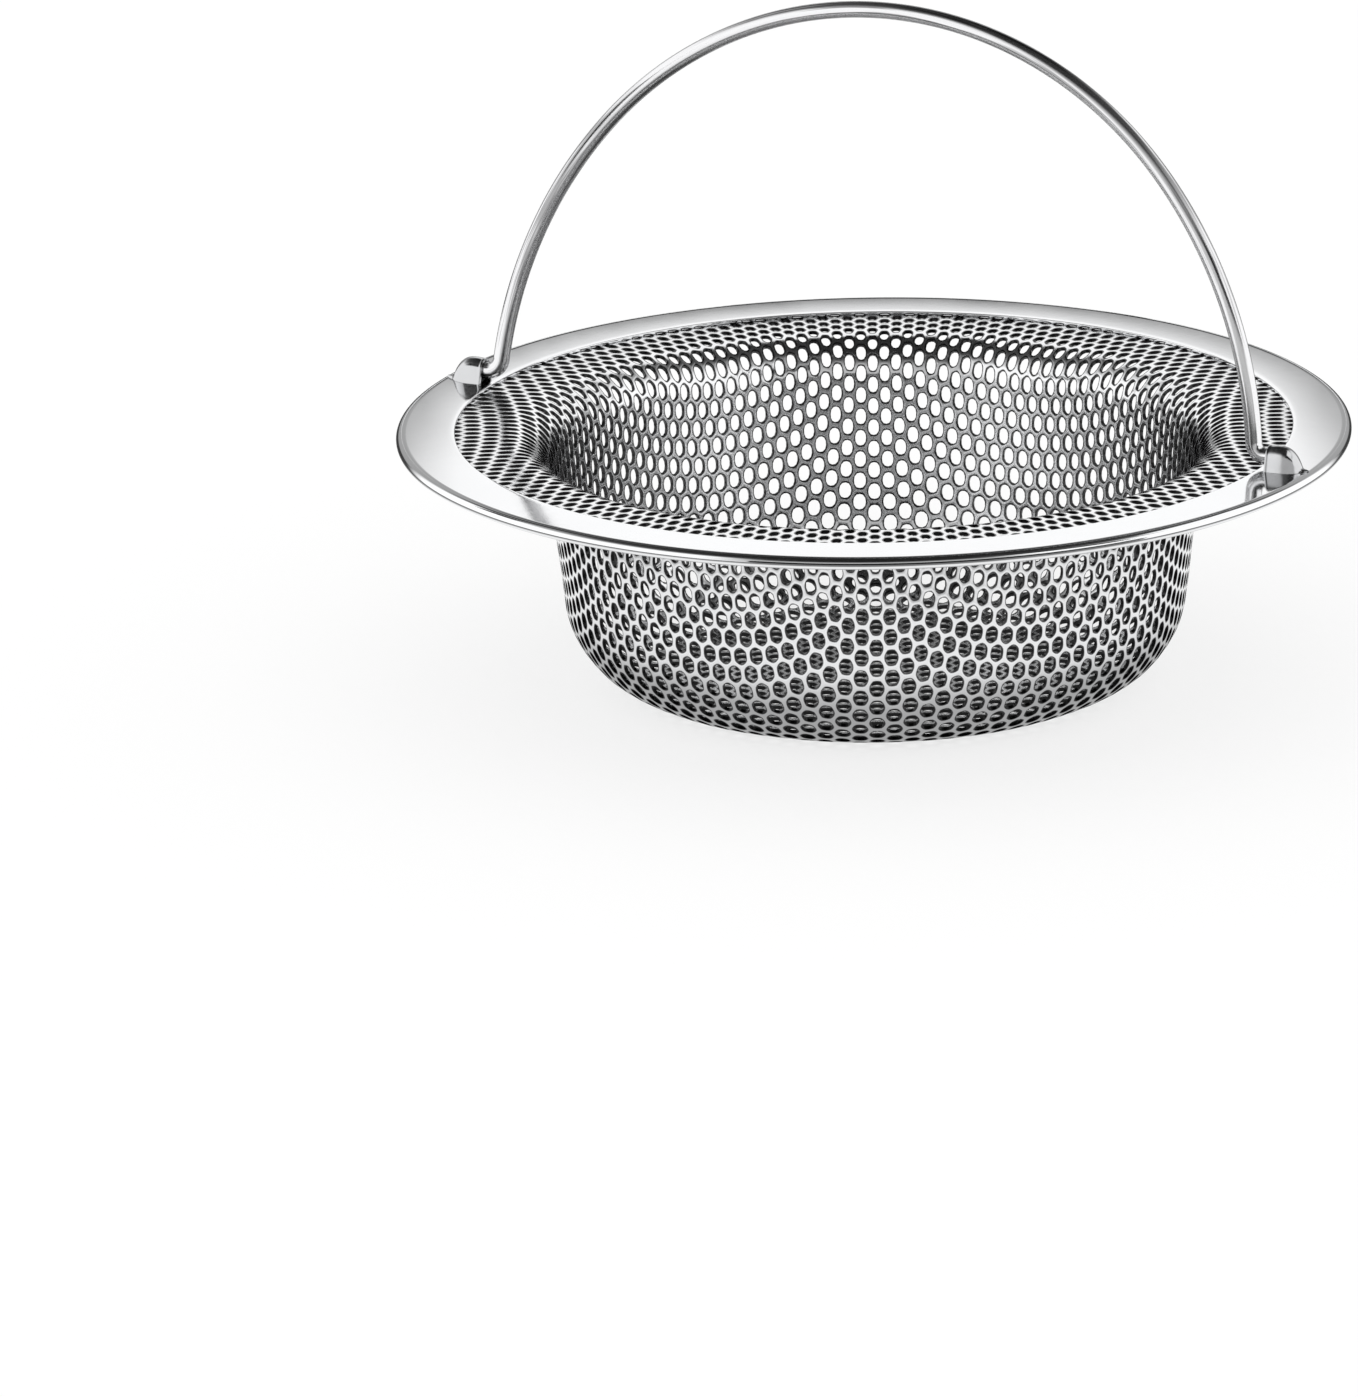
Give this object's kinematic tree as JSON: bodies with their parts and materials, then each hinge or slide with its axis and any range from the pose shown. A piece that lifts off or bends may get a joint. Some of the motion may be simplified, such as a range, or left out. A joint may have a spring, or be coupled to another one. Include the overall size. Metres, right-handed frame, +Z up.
{
  "type": "sink basket strainer",
  "caption": "Deep-drawn perforated steel sink basket with a wide rolled rim and a swinging wire bail handle held in pressed pivot lugs.",
  "frame": {"origin": "centre of the underside of the basket floor", "axes": "+Z up out of the basket, +X along the bail's pivot axis, +Y towards the side the bail leans to at rest"},
  "size_m": [0.114, 0.114, 0.0818],
  "materials": {
    "perforated_sheet": "bright drawn stainless steel sheet with punched holes",
    "polished_rim": "mirror-polished stainless steel",
    "pressed_lug": "bright pressed stainless steel",
    "bail_wire": "bright drawn stainless steel wire with lengthwise draw lines"
  },
  "bodies": {
    "strainer": {"basket": "perforated_sheet", "rim_ring": "polished_rim", "left_lug": "pressed_lug", "right_lug": "pressed_lug"},
    "bail": {"bail": "bail_wire"}
  },
  "joints": [
    {"name": "bail_swing", "type": "hinge", "parent": "strainer", "child": "bail", "pos_m": [0, 0, 0.0328], "axis": [1, 0, 0], "range_deg": [-82.5, 97.5]}
  ]
}
